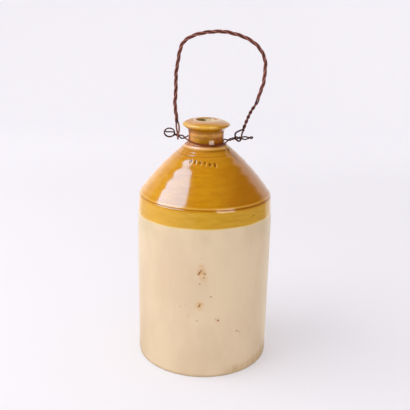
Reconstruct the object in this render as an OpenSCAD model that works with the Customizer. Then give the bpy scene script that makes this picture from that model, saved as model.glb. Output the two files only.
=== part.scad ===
// One gallon stoneware crock jug with a twisted wire bail, in millimetres.
// The jug stands on Z = 0 and turns about the Z axis. The ears of its neck wire lie along X.

/* [Body] */
// Outer diameter of the body, glaze included
body_d = 170; // [150:1:190]
// Height of the shoulder's edge above the floor
wall_h = 217; // [190:1:240]
// Height up to which the wall stands plumb
plumb_h = 165; // [120:1:185]
// How much the wall leans in from there to the shoulder's edge
wall_lean = 1.8; // [0:0.1:3]
// Thickness of the wall
wall_t = 6.3; // [5:0.1:9]
// Thickness of the base
base_t = 8; // [6:0.5:14]
// Radius of the round at the foot
foot_round = 1.1; // [0.5:0.1:4]

/* [Shoulder and neck] */
// Rise of the shoulder from its edge to the ledge at the neck
shoulder_rise = 59.6; // [50:0.1:68]
// How far the shoulder's arc stands proud of a straight cone
shoulder_crown = 2.6; // [0.5:0.1:4]
// Length of the round between wall and shoulder
edge_round = 4; // [2:0.5:8]
// How far the ledge at the foot of the neck stands out from the neck
ledge_w = 4.8; // [3.4:0.1:7]
// Rise of the ledge's rounded top
ledge_rise = 1.6; // [1:0.1:2.4]
// Diameter of the neck
neck_d = 44; // [40:0.1:46]
// Height of the neck from the ledge to the widest line of the lip
neck_h = 24.1; // [21:0.1:30]
// How much the neck is drawn in at its waist
neck_waist = 0.5; // [0:0.1:1]
// How far the lip stands out from the neck
lip_w = 7.2; // [5:0.1:9]
// Rise of the lip's domed top above its widest line
lip_rise = 5.9; // [4:0.1:8]
// Height of the sloped underside of the lip
lip_under = 5.6; // [4:0.1:8]
// Diameter of the mouth's bore, for a one inch cork
bore_d = 26; // [22:0.5:30]
// Length of the mouth's bore
bore_l = 24; // [16:0.5:28]

/* [Glaze] */
// Thickness of both glaze coats
glaze_t = 0.5; // [0.3:0.05:0.8]
// How far below the shoulder's edge the ochre dip meets the cream glaze
dip_drop = 23.4; // [15:0.1:45]
// Height of the bare clay between the foot's round and the cream glaze
bare_foot_h = 0.7; // [0.4:0.1:6]
// Depth of the turned lines in the shoulder
groove_depth = 0.35; // [0.1:0.05:0.45]
// Width of each turned line
groove_w = 1.8; // [1.2:0.1:2.4]

/* [Neck wire] */
// Diameter of the neck wire
neck_wire_d = 1.4; // [1:0.1:1.6]
// Gap between wires that are twisted together
twist_gap = 0.58; // [0.54:0.01:0.7]
// Gap between the neck and the wire round it
neck_wire_gap = 1.3; // [1.1:0.1:1.8]
// Gap between the ledge and the lowest point of the wire
ledge_gap = 0.3; // [0.2:0.05:0.6]
// How much higher the wire lies behind the neck than before it
neck_wire_tilt = 6; // [2:0.5:8]
// Distance from the axis to the end of the right ear
right_ear_reach = 57.6; // [54:0.1:64]
// Distance from the axis to the middle of the left ear's ring
left_ear_reach = 45.4; // [43:0.1:52]
// Half width of the left ear's ring
ring_half_w = 6.3; // [5:0.1:7.5]
// Half height of the left ear's ring
ring_half_h = 5.3; // [4:0.1:6]

/* [Bail] */
// Diameter of the bail's wire
bail_wire_d = 1.7; // [1.4:0.1:2]
// Height of the bail above the line it swings about
bail_rise = 125; // [105:1:150]
// Height of the swing line above the lowest point of the neck wire
swing_lift = 7.3; // [6.8:0.1:9]
// Distance from the axis to the bail's left loop
left_loop_reach = 35; // [34:0.1:38]
// Distance from the axis to the bail's right loop
right_loop_reach = 41; // [40:0.1:46]
// Radius that the left loop keeps clear about the swing line
left_loop_clear = 3.2; // [3.1:0.1:3.6]
// Radius that the right loop keeps clear about the swing line
right_loop_clear = 4.4; // [4.2:0.1:4.8]
// Full turns of the three wires from the left loop to the cut end
bail_turns = 7; // [5:1:9]
// Full turns of the two wires from the cut end to the right loop
leg_turns = 3; // [2:1:4]

/* [Hidden] */
$fn = 96;

// Heights of the main lines, from the floor up
dip_line_h = wall_h - dip_drop;
glaze_foot_z = foot_round + bare_foot_h;
ledge_z = wall_h + shoulder_rise;
neck_z = ledge_z + ledge_rise;
lip_z = neck_z + neck_h;
jug_h = lip_z + lip_rise;

// Radii of the clay, which the coats of glaze cover
clay_r = body_d / 2 - glaze_t;
neck_r = neck_d / 2 - glaze_t;
ledge_r = neck_r + ledge_w;
lip_r = neck_r + lip_w;
bore_r = bore_d / 2;

// Flare at the foot of the neck, and the rounds of the lip
neck_fillet = 1.6;
lip_round = 1.5;
mouth_round = 2.2;
// Number of straight steps in each curve of the profile
wall_steps = 6;
round_steps = 6;
shoulder_steps = 14;
skin_step = 0.45;

// Points of a quadratic curve from a to c, whose ends point at b
function curve(a, b, c, steps) = [
    for (i = [0:steps])
        let (t = i / steps)
            (1 - t) * (1 - t) * a + 2 * t * (1 - t) * b + t * t * c
];

function unit(v) = v / norm(v);

// A list without its first point, to join it to one that ends there
function tail(points) = [for (i = [1:1:len(points) - 1]) points[i]];

// Direction to the right of the line at one of its points
function normal_at(line, i) =
    let (
        before = line[max(i - 1, 0)],
        after = line[min(i + 1, len(line) - 1)],
        along = unit(after - before)
    )
        [along[1], -along[0]];

// The line moved to its right, as seen along it
function moved_out(line, distance) = [
    for (i = [0:len(line) - 1]) line[i] + distance * normal_at(line, i)
];

// Outline of the clay from the foot to the mouth
foot_line = curve(
    [clay_r - foot_round, 0], [clay_r, 0], [clay_r, foot_round], round_steps
);
edge_low = [clay_r - wall_lean, wall_h - edge_round];
edge_mid = [clay_r - wall_lean - edge_round / 10, wall_h];
shoulder_foot = [clay_r - wall_lean - edge_round * 0.7, wall_h + edge_round * 0.7];
shoulder_top = [ledge_r, ledge_z];
lean_line = curve(
    [clay_r, plumb_h], [clay_r, (plumb_h + wall_h) / 2], edge_low, wall_steps
);
edge_line = curve(edge_low, edge_mid, shoulder_foot, round_steps);
shoulder_chord = shoulder_top - shoulder_foot;
shoulder_out = unit([shoulder_chord[1], -shoulder_chord[0]]);
shoulder_mid = (shoulder_foot + shoulder_top) / 2 + 2 * shoulder_crown * shoulder_out;
shoulder_line = curve(shoulder_foot, shoulder_mid, shoulder_top, shoulder_steps);

// Outline of the ledge, the neck and the lip
ledge_top = [(ledge_r + neck_r) / 2, neck_z];
ledge_line = curve(
    shoulder_top, [ledge_r - ledge_rise / 4, neck_z - ledge_rise / 4], ledge_top,
    round_steps
);
fillet_line = curve(
    [neck_r + neck_fillet, neck_z], [neck_r, neck_z], [neck_r, neck_z + neck_fillet],
    round_steps
);
neck_top = [neck_r + neck_waist, lip_z - lip_round - lip_under];
waist_line = curve(
    [neck_r, neck_z + neck_fillet],
    [neck_r - neck_waist, (neck_z + neck_top[1]) / 2],
    neck_top, round_steps
);
lip_low = [lip_r - lip_round / 2, lip_z - lip_round];
under_line = curve(
    neck_top, [neck_top[0], neck_top[1] + lip_under / 4], lip_low, round_steps
);
lip_edge = [lip_r, lip_z];
lip_high = [lip_r - lip_round, lip_z + lip_round];
lip_line = concat(
    curve(lip_low, [lip_r, lip_z - lip_round / 2], lip_edge, round_steps),
    tail(curve(lip_edge, [lip_r, lip_z + lip_round / 2], lip_high, round_steps))
);
mouth_edge = [bore_r + mouth_round, jug_h - glaze_t];
dome_line = curve(
    lip_high, [(lip_high[0] + mouth_edge[0]) / 2, jug_h - glaze_t], mouth_edge,
    wall_steps
);
mouth_line = curve(
    mouth_edge, [bore_r, jug_h - glaze_t], [bore_r, jug_h - mouth_round], round_steps
);

// Clay under the cream glaze, and clay under the ochre dip
lean_share = (dip_line_h - plumb_h) / (wall_h - edge_round - plumb_h);
dip_r = clay_r - wall_lean * max(lean_share, 0) * max(lean_share, 0);
cream_line = concat(
    [[clay_r, glaze_foot_z]],
    [for (p = lean_line) if (p[1] < dip_line_h) p],
    [[dip_r, dip_line_h]]
);
neck_line = concat(
    ledge_line, fillet_line, tail(waist_line), tail(under_line), tail(lip_line),
    tail(dome_line)
);
ochre_line = concat(
    [[dip_r, dip_line_h]],
    [for (p = lean_line) if (p[1] > dip_line_h) p],
    tail(edge_line), tail(shoulder_line), tail(neck_line)
);

mouth_coat = [
    for (i = [1:round_steps - 1])
        mouth_line[i] + glaze_t * pow(1 - i / round_steps, 2) * normal_at(mouth_line, i)
];

// Inside of the jug, from the bore down to the middle of the floor
inner_shoulder = moved_out(shoulder_line, -wall_t);
inner_top = inner_shoulder[shoulder_steps - 1];
bore_low = [bore_r, jug_h - bore_l];
inner_r = clay_r - wall_t;
inner_line = concat(
    curve(bore_low, [bore_r, inner_top[1]], inner_top, round_steps),
    [for (i = [shoulder_steps - 2:-1:1]) inner_shoulder[i]],
    curve(
        inner_shoulder[0], [inner_r, inner_shoulder[0][1] - wall_t],
        [inner_r, plumb_h], wall_steps
    ),
    curve([inner_r, base_t + wall_t], [inner_r, base_t], [inner_r - wall_t, base_t],
        round_steps),
    [[0, base_t]]
);

// Heights of the turned lines, as shares of the shoulder's rise above its edge
edge_groove_shares = [-0.012, 0.062];
neck_groove_shares = [0.864, 0.908, 0.955];
groove_zs = [
    for (share = concat(edge_groove_shares, neck_groove_shares))
        wall_h + share * shoulder_rise
];

function near_groove(z) = min([for (g = groove_zs) abs(z - g)]) < groove_w;

// How deep a turned line is at a height
function groove_at(z) = max([
    for (g = groove_zs)
        let (offset = abs(z - g) / (groove_w / 2))
            offset < 1 ? groove_depth * pow(cos(90 * offset), 2) : 0
]);

// Outer face of a coat over a line of clay, with the turned lines in it
function coat_line(line) = [
    for (i = [0:len(line) - 1])
        let (
            here = line[i],
            next = line[min(i + 1, len(line) - 1)],
            parts = max(1, ceil(norm(next - here) / skin_step))
        )
            for (k = [0:parts - 1])
                let (
                    p = here + (next - here) * k / parts,
                    out = unit(
                        normal_at(line, i) * (1 - k / parts)
                        + normal_at(line, min(i + 1, len(line) - 1)) * k / parts
                    )
                )
                    if (k == 0 || near_groove(p[1])) p + (glaze_t - groove_at(p[1])) * out
];

function reversed(list) = [for (i = [len(list) - 1:-1:0]) list[i]];

// Volume inside a turned outline, by slices between its points
function turned_volume(line, i = 0) =
    i >= len(line) - 1
        ? 0
        : turned_volume(line, i + 1)
            + PI * (line[i][1] - line[i + 1][1])
            * (pow(line[i][0], 2) + line[i][0] * line[i + 1][0] + pow(line[i + 1][0], 2)) / 3;

brimful = turned_volume(concat([[bore_r, jug_h]], inner_line));
// Cubic millimetres in a millilitre
ML = 1000;
echo(str("Brimful capacity in millilitres: ", round(brimful / ML)));

// Point on a smooth line through a list of points, u counting from its first point
function spline(points, u) =
    let (
        n = len(points),
        i = min(floor(u), n - 2),
        t = u - i,
        a = points[max(i - 1, 0)],
        b = points[i],
        c = points[i + 1],
        d = points[min(i + 2, n - 1)]
    )
        (2 * b + (c - a) * t + (2 * a - 5 * b + 4 * c - d) * t * t
            + (3 * b - a - 3 * c + d) * t * t * t) / 2;

// Direction of that line
nudge = 0.01;
function heading(points, u) =
    unit(spline(points, min(u + nudge, len(points) - 1)) - spline(points, max(u - nudge, 0)));

// Direction along a list of points at one of them
function along(path, i) = unit(path[min(i + 1, len(path) - 1)] - path[max(i - 1, 0)]);

// Directions square to the path that turn with it and never twist
slant = [0.3, 0.8, 0.5];
function sides_of(path) = [
    for (
        i = 0, side = unit(cross(along(path, 0), slant));
        i < len(path);
        i = i + 1,
        side = i < len(path)
            ? unit(side - (side * along(path, i)) * along(path, i))
            : side
    )
        side
];

// A closed wire along a path, as one tube of small triangles
wire_sides = 8;
module wire(path, d) {
    sides = sides_of(path);
    n = len(path);
    m = wire_sides;
    points = [
        for (i = [0:n - 1])
            let (u = sides[i], v = cross(along(path, i), u))
                for (k = [0:m - 1])
                    path[i] + d / 2 * (cos(360 * k / m) * u + sin(360 * k / m) * v)
    ];
    skin = [
        for (i = [0:n - 2])
            for (k = [0:m - 1])
                let (a = i * m + k, b = i * m + (k + 1) % m)
                    each [[a, a + m, b], [b, a + m, b + m]]
    ];
    caps = [
        for (k = [1:m - 2])
            each [[0, k, k + 1], [(n - 1) * m, (n - 1) * m + k + 1, (n - 1) * m + k]]
    ];
    polyhedron(points, concat(skin, caps));
}

// Distance from a point to the straight piece between two others
function to_piece(p, a, b) =
    let (t = max(0, min(1, ((p - a) * (b - a)) / ((b - a) * (b - a)))))
        norm(p - a - t * (b - a));

// Least gap between stretches of one wire that lie apart along it
skip = 9;
function least_gap(path, d) = min([
    for (i = [0:len(path) - 1])
        for (j = [i + skip:1:len(path) - 2])
            to_piece(path[i], path[j], path[j + 1])
]) - d;

// The ring of wire round the neck, low in front and high behind
neck_wire_r = neck_wire_d / 2;
ring_r = neck_d / 2 + neck_wire_gap + neck_wire_r;
ring_low = neck_z + glaze_t + ledge_gap + neck_wire_r;
low_angle = -50;
function ring_z(angle) = ring_low + neck_wire_tilt * (1 - cos(angle - low_angle)) / 2;
function ring_point(angle) = [ring_r * cos(angle), ring_r * sin(angle), ring_z(angle)];

// Line that the bail swings about
swing_z = ring_low + swing_lift;

// Middle lines of the two ears, from the neck outwards
left_ear_lift = 0.6;
right_ear_drop = 1.3;
left_root_gap = 2.6;
right_root_gap = 4;
left_ear_start = ring_r + left_root_gap;
right_ear_start = ring_r + right_root_gap;
ring_start = left_ear_reach - ring_half_w - neck_wire_d;
left_ear_line = [
    [-left_ear_start, 0, ring_z(180)],
    [-(left_ear_start + left_loop_reach) / 2, 0, (ring_z(180) + swing_z) / 2],
    [-left_loop_reach, 0, swing_z + left_ear_lift],
    [-ring_start, 0, swing_z + 2 * left_ear_lift]
];
right_ear_line = [
    [right_ear_start, 0, (2 * ring_z(0) + swing_z) / 3],
    [(right_ear_start + right_loop_reach) / 2, 0, swing_z - 1.5 * right_ear_drop],
    [right_loop_reach, 0, swing_z - right_ear_drop],
    [(right_loop_reach + right_ear_reach) / 2, 0, swing_z - right_ear_drop],
    [right_ear_reach, 0, swing_z - right_ear_drop / 3]
];

// Turns of each ear's two wires about its middle line, at shares of the line's length
left_twist_shares = [[0, 0.25], [0.14, 0.5], [0.42, 0.5], [0.90, 1.25], [1, 1.25]];
right_twist_shares = [
    [0, 0.25], [0.30, 1.5], [0.375, 1.5], [0.63, 2.5], [0.76, 2.5], [1, 3.25]
];
turn_gap = neck_wire_d + twist_gap;
twist_r = turn_gap / 2;
// Eyes where the wires stand apart: place and half length as shares of the line's length,
// half height as a share of the distance between twisted wires
left_eye_shares = [[0.28, 0.22, 0.92], [1, 0.3, 1]];
right_eye_shares = [[0, 0.12, 0.6], [0.338, 0.08, 0.8], [0.70, 0.095, 0.92]];

// A smooth rise to 1 at the middle of -1 to 1
function bump(x) = abs(x) < 1 ? pow(cos(90 * x), 2) : 0;

// Half the distance between an ear's two wires
function apart(eyes, share, i = 0) =
    i == len(eyes)
        ? twist_r
        : max(
            apart(eyes, share, i + 1),
            twist_r
                + (eyes[i][2] * turn_gap - twist_r) * bump((share - eyes[i][0]) / eyes[i][1])
        );

// Steady turning between the rows of a table, eased at both ends of each row
ease_share = 0.15;
function eased(t) =
    t < ease_share
        ? t * t / (2 * ease_share * (1 - ease_share))
        : t > 1 - ease_share
            ? 1 - eased(1 - t)
            : (t - ease_share / 2) / (1 - ease_share);
function turned(share, turns, i = 0) =
    i == len(turns) - 1
        ? turns[0][1]
        : turned(share, turns, i + 1)
            + (turns[i + 1][1] - turns[i][1])
            * eased(max(0, min(1, (share - turns[i][0]) / (turns[i + 1][0] - turns[i][0]))));

// One of an ear's two wires, side -1 in front and 1 behind at the neck
ear_steps = 46;
function ear_wire(line, turns, eyes, side, steps) = [
    for (k = [0:steps])
        let (
            share = k / steps,
            u = share * (len(line) - 1),
            dir = heading(line, u),
            up = unit([-dir[2] * sign(dir[0]), 0, abs(dir[0])]),
            turn = 360 * turned(share, turns)
        )
            spline(line, u)
            + side * apart(eyes, share) * (cos(turn) * up + sin(turn) * [0, 1, 0])
];

// The wire's way from the ring round the neck into an ear
lead_angle = 24;
lead_steps = 4;
function lead(angle, ear_end) =
    let (a = ring_point(angle), slope = (ear_end[1] - a[1]) / cos(angle))
        curve(
            a, [a[0] - slope * sin(angle), ear_end[1], (a[2] + ear_end[2]) / 2],
            ear_end, lead_steps
        );

// The double ring at the end of the left ear, whose second turn is bent over backwards
ring_from = 58;
ring_to = 682;
ring_steps = 40;
fold_from = 515;
fold_to = 600;
fold_angle = 96;
in_bend = 1.3 * neck_wire_d;
out_bend = 0.9 * neck_wire_d;
ring_centre_z = swing_z + 0.72 * ring_half_h;
left_ring = [
    for (k = [0:ring_steps])
        let (
            angle = ring_from + (ring_to - ring_from) * k / ring_steps,
            folded = max(0, min(1, (angle - fold_from) / (fold_to - fold_from))),
            fold = fold_angle * (1 - cos(180 * folded)) / 2,
            rise = -ring_half_h * sin(angle)
        )
            [
                -left_ear_reach + ring_half_w * cos(angle),
                turn_gap * (angle / 360 - 1) + rise * sin(fold),
                ring_centre_z + rise * cos(fold)
            ]
];

// The bend between an ear's wire and the ring
join_steps = 4;
function ring_join(ear_end, ring_end, bend) =
    let (
        points = curve(
            ear_end, [ear_end[0] - bend, (ear_end[1] + ring_end[1]) / 2, ear_end[2]],
            ring_end, join_steps
        )
    )
        [for (i = [1:join_steps - 1]) points[i]];

// The neck wire, from one cut end to the other
front_right = ear_wire(right_ear_line, right_twist_shares, right_eye_shares, -1, ear_steps);
back_right = ear_wire(right_ear_line, right_twist_shares, right_eye_shares, 1, ear_steps);
left_steps = 18;
front_left = ear_wire(left_ear_line, left_twist_shares, left_eye_shares, -1, left_steps);
back_left = ear_wire(left_ear_line, left_twist_shares, left_eye_shares, 1, left_steps);
arc_steps = 12;
arc_turn = 180 - 2 * lead_angle;
front_arc = [
    for (k = [0:arc_steps]) ring_point(-lead_angle - arc_turn * k / arc_steps)
];
back_arc = [
    for (k = [0:arc_steps]) ring_point(180 - lead_angle - arc_turn * k / arc_steps)
];
neck_wire_path = concat(
    reversed(front_right),
    tail(reversed(lead(-lead_angle, front_right[0]))),
    tail(front_arc),
    tail(lead(lead_angle - 180, front_left[0])),
    tail(front_left),
    ring_join(front_left[left_steps], left_ring[0], in_bend),
    left_ring,
    reversed(ring_join(back_left[left_steps], left_ring[ring_steps], out_bend)),
    reversed(back_left),
    tail(reversed(lead(180 - lead_angle, back_left[0]))),
    tail(back_arc),
    tail(lead(lead_angle, back_right[0])),
    tail(back_right)
);

// Middle line of the bail, as shares of the span between its loops and of its rise
bail_route_shares = [
    [-0.013, 0.128], [-0.034, 0.224], [-0.050, 0.320], [-0.039, 0.416], [-0.037, 0.520],
    [-0.034, 0.616], [-0.008, 0.712], [0.018, 0.808], [0.072, 0.892], [0.191, 0.948],
    [0.355, 0.982], [0.526, 0.997], [0.697, 1.000], [0.868, 0.982], [1.039, 0.949],
    [1.191, 0.896], [1.303, 0.820], [1.361, 0.728], [1.362, 0.628], [1.347, 0.528],
    [1.300, 0.436], [1.253, 0.340], [1.168, 0.252], [1.105, 0.160], [1.052, 0.068]
];
bail_span = left_loop_reach + right_loop_reach;
bail_line = [
    for (p = bail_route_shares)
        [p[0] * bail_span - left_loop_reach, 0, swing_z + p[1] * bail_rise]
];
bail_end = len(bail_line) - 1;
// Place along the middle line where the third wire is cut off
nub_u = 20.6;

// Place along it where the first wire begins
first_cut_u = 0.4;

// Turn of the bundle, and how far each wire stands from its middle
three_r = (bail_wire_d + twist_gap) / sqrt(3);
two_r = (bail_wire_d + twist_gap) / 2;
start_turn = 270;

// Turning that starts slowly and then runs steadily, from 0 to 1
quicken_share = 0.3;
function quickened(t) =
    (t < quicken_share ? t * t / (2 * quicken_share) : t - quicken_share / 2)
    / (1 - quicken_share / 2);
function bail_turn(u) =
    start_turn + (360 * bail_turns + 120) * min(u, nub_u) / nub_u
    + 360 * leg_turns * quickened(max(u - nub_u, 0) / (bail_end - nub_u));

// How far the two wires that go on have closed up after the cut end, from 0 to 1
merge_u = 0.6;
function merged(u) = max(0, min(1, (u - nub_u) / merge_u));

// One of the bail's wires at one place, k counting the passes from 0 to 2
function bail_point(k, u) =
    let (
        dir = heading(bail_line, u),
        across = [dir[2], 0, -dir[0]],
        spread = (k == 1 ? 1 : -1) * 30 * merged(u),
        turn = bail_turn(u) + 120 * k + spread,
        r = three_r + (two_r - three_r) * merged(u)
    )
        spline(bail_line, u) + r * (cos(turn) * across + sin(turn) * [0, 1, 0]);

// One pass of the wire, from the left loop up; the first starts at its cut end
upper_steps = 82;
leg_steps = 30;
function bail_pass(k) = concat(
    [
        for (i = [0:upper_steps])
            let (u = nub_u * i / upper_steps)
                if (k > 0 || u >= first_cut_u) bail_point(k, u)
    ],
    k == 2
        ? []
        : [
            for (i = [1:leg_steps])
                bail_point(k, nub_u + (bail_end - nub_u) * i / leg_steps)
        ]
);

// Lower part of a loop, round the swing line from one side to the other
loop_turn = 112;
loop_steps = 10;
function loop_round(clear, from_x, to_x, side) =
    let (r = clear + bail_wire_d / 2)
        [
            for (i = [0:loop_steps])
                let (turn = side * loop_turn * (1 - 2 * i / loop_steps))
                    [
                        from_x + (to_x - from_x) * (1 - cos(180 * i / loop_steps)) / 2,
                        r * sin(turn),
                        swing_z - r * cos(turn)
                    ]
        ];

// A loop's leg, from the bundle down to the lower part
leg_parts = 5;
// How far the front and back legs of the left loop lean to the right
left_leg_leans = [2.6, -2.2];
function loop_leg(top, low, rise_share, lean = 0) =
    let (
        bend = [
            low[0] + lean,
            low[1] * (1 - rise_share / 2),
            low[2] + (top[2] - low[2]) * rise_share
        ],
        points = curve(top, bend, low, leg_parts)
    )
        [for (i = [1:leg_parts - 1]) points[i]];

first_pass = bail_pass(0);
second_pass = bail_pass(1);
third_pass = bail_pass(2);
right_loop_r = right_loop_clear + bail_wire_d / 2;
right_low = loop_round(
    right_loop_clear,
    right_loop_reach - right_loop_r,
    right_loop_reach + 0.45 * right_loop_r,
    1
);
left_low = loop_round(
    left_loop_clear,
    0.2 * bail_wire_d - left_loop_reach,
    -0.2 * bail_wire_d - left_loop_reach,
    -1
);
first_end = first_pass[len(first_pass) - 1];
second_end = second_pass[len(second_pass) - 1];
bail_path = concat(
    first_pass,
    loop_leg(first_end, right_low[0], 0.5),
    right_low,
    reversed(loop_leg(second_end, right_low[loop_steps], 0.6)),
    reversed(second_pass),
    loop_leg(second_pass[0], left_low[0], 0.55, left_leg_leans[0]),
    left_low,
    reversed(loop_leg(third_pass[0], left_low[loop_steps], 0.55, left_leg_leans[1])),
    third_pass
);

echo(str("Least gap of the neck wire to itself: ", least_gap(neck_wire_path, neck_wire_d)));
echo(str("Least gap of the bail wire to itself: ", least_gap(bail_path, bail_wire_d)));
echo(str("Rings of wire: ", len(neck_wire_path), " and ", len(bail_path)));

module stoneware_body() {
    color("#CDB490")
        rotate_extrude()
            polygon(concat(
                [[0, 0]], foot_line, cream_line, tail(ochre_line), tail(mouth_line),
                inner_line
            ));
}

// The cream coat runs from the bare foot to the dip line
module cream_glaze() {
    color("#E3CDA9")
        rotate_extrude()
            polygon(concat(
                [[clay_r + glaze_t, glaze_foot_z + glaze_t]],
                [for (p = tail(cream_line)) [p[0] + glaze_t, p[1]]],
                reversed(cream_line)
            ));
}

// The ochre dip covers shoulder, neck and lip, and thins out to nothing in the mouth
module ochre_glaze() {
    coat = coat_line(ochre_line);
    color("#C98A1E")
        rotate_extrude()
            polygon(concat(
                [[dip_r + glaze_t, dip_line_h]], tail(coat), mouth_coat,
                reversed(concat(ochre_line, tail(mouth_line)))
            ));
}

module neck_wire() {
    color("#33241F")
        wire(neck_wire_path, neck_wire_d);
}

module bail_wire() {
    color("#6E3C2D")
        wire(bail_path, bail_wire_d);
}

stoneware_body();
cream_glaze();
ochre_glaze();
neck_wire();
bail_wire();
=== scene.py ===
"""The looks of the stoneware jug: its glazes, its two rusty wires, the floor, the light and the camera."""

import math

import bpy
import numpy as np
from mathutils import Matrix, Vector


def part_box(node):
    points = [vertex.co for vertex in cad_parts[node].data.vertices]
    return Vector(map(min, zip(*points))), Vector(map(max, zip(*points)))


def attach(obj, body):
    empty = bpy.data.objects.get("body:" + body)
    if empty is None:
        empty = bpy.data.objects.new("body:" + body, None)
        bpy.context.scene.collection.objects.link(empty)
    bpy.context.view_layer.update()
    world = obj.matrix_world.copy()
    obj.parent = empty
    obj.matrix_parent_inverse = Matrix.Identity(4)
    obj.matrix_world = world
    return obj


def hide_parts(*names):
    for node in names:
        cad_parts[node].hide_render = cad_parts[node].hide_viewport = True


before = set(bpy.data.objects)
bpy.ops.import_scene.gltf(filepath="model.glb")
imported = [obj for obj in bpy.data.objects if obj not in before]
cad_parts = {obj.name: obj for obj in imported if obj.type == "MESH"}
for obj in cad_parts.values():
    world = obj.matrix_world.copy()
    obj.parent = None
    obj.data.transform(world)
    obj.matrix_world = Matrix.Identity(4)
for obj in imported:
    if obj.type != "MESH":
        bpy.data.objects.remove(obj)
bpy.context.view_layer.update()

# Sizes are in millimetres up to the meshes, which are in metres
MM = 0.001
SEED = 7

# Sizes that the frame holds
body_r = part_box("cream_glaze")[1].x / MM
foot_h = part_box("cream_glaze")[0].z / MM
dip_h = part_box("ochre_glaze")[0].z / MM
jug_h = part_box("ochre_glaze")[1].z / MM

# Sizes of the jug's outline
glaze_t = 0.5
wall_h = 217.0
plumb_h = 165.0
wall_lean = 1.8
shoulder_rise = 59.6
shoulder_crown = 2.6
edge_round = 4.0
ledge_r = 26.8 - glaze_t
ledge_rise = 1.6
neck_r = 22.0 - glaze_t
neck_h = 24.1
neck_waist = 0.5
neck_fillet = 1.6
lip_r = 29.2 - glaze_t
lip_under = 5.6
lip_round = 1.5
bore_r = 13.0
mouth_round = 2.2

clay_r = body_r - glaze_t
ledge_z = wall_h + shoulder_rise
neck_z = ledge_z + ledge_rise
lip_z = neck_z + neck_h

# How far the glaze spreads at the neck's foot, and the heights above it between which that fades
flare_w = 0.85
flare_low = 3.0
flare_high = 11.0

# The turned lines: their places on the shoulder, and the shares of depth and of pooled glaze in each
groove_depth = 0.35
groove_w = 1.8
groove_places = (-0.012, 0.062, 0.864, 0.908, 0.955)
groove_depth_shares = (1.0, 0.15, 0.2, 0.1, 0.1)
groove_tone_shares = (1.0, 0.4, 0.7, 0.4, 0.35)
groove_zs = [wall_h + place * shoulder_rise for place in groove_places]

# The dip line rises a little to the right and wanders, and each coat fades that out over a length
dip_tilt = 1.2
dip_wander = 0.22
ochre_fade = 14
cream_fade = 20

# A row of plain impressed marks on the front of the shoulder
mark_from = math.radians(-25)
mark_to = math.radians(14.5)
mark_count = 6
mark_z = 262.8
mark_slope = -5.7
mark_depth = 0.14
mark_h = 6.8
mark_w = 4.6

# Widths of the coats' lower edges, and how far their hidden faces lie above the clay
ochre_edge_w = 2.2
cream_edge_w = 1.2
hidden_gap = 0.02


def curve(a, b, c, steps=24):
    """Points of a quadratic curve from a to c, whose ends point at b."""
    t = np.linspace(0, 1, steps + 1)[:, None]
    a, b, c = (np.asarray(p, float) for p in (a, b, c))
    return (1 - t) ** 2 * a + 2 * t * (1 - t) * b + t ** 2 * c


def clipped(t):
    return max(0, min(1, t))


def unit(v):
    v = np.asarray(v, float)
    return v / np.linalg.norm(v)


def smooth(t):
    """0 below 0, 1 above 1, and a smooth step between."""
    t = np.clip(t, 0, 1)
    return t * t * (3 - 2 * t)


def bump(x):
    """A smooth rise to 1 at the middle of -1 to 1."""
    return np.where(np.abs(x) < 1, np.cos(np.pi / 2 * np.clip(x, -1, 1)) ** 2, 0.0)


def clay_points():
    """Radius and height of points on the clay's outline, from the foot of the glaze to the mouth."""
    edge_low = [clay_r - wall_lean, wall_h - edge_round]
    edge_mid = [clay_r - wall_lean - edge_round / 10, wall_h]
    foot = np.array([clay_r - wall_lean - edge_round * 0.7, wall_h + edge_round * 0.7])
    top = np.array([ledge_r, ledge_z])
    chord = top - foot
    crown = (foot + top) / 2 + 2 * shoulder_crown * unit([chord[1], -chord[0]])
    ledge_top = [(ledge_r + neck_r) / 2, neck_z]
    neck_low = [neck_r, neck_z + neck_fillet]
    neck_top = [neck_r + neck_waist, lip_z - lip_round - lip_under]
    lip_low = [lip_r - lip_round / 2, lip_z - lip_round]
    lip_edge = [lip_r, lip_z]
    lip_high = [lip_r - lip_round, lip_z + lip_round]
    mouth_edge = [bore_r + mouth_round, jug_h - glaze_t]
    return np.vstack([
        curve([clay_r, foot_h], [clay_r, (foot_h + plumb_h) / 2], [clay_r, plumb_h]),
        curve([clay_r, plumb_h], [clay_r, (plumb_h + wall_h) / 2], edge_low),
        curve(edge_low, edge_mid, foot),
        curve(foot, crown, top, 48),
        curve(top, [ledge_r - ledge_rise / 4, neck_z - ledge_rise / 4], ledge_top),
        curve([neck_r + neck_fillet, neck_z], [neck_r, neck_z], neck_low),
        curve(neck_low, [neck_r - neck_waist, (neck_z + neck_top[1]) / 2], neck_top),
        curve(neck_top, [neck_top[0], neck_top[1] + lip_under / 4], lip_low),
        curve(lip_low, [lip_r, lip_z - lip_round / 2], lip_edge),
        curve(lip_edge, [lip_r, lip_z + lip_round / 2], lip_high),
        curve(lip_high, [(lip_high[0] + mouth_edge[0]) / 2, jug_h - glaze_t], mouth_edge),
        curve(mouth_edge, [bore_r, jug_h - glaze_t], [bore_r, jug_h - mouth_round]),
    ])


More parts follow.
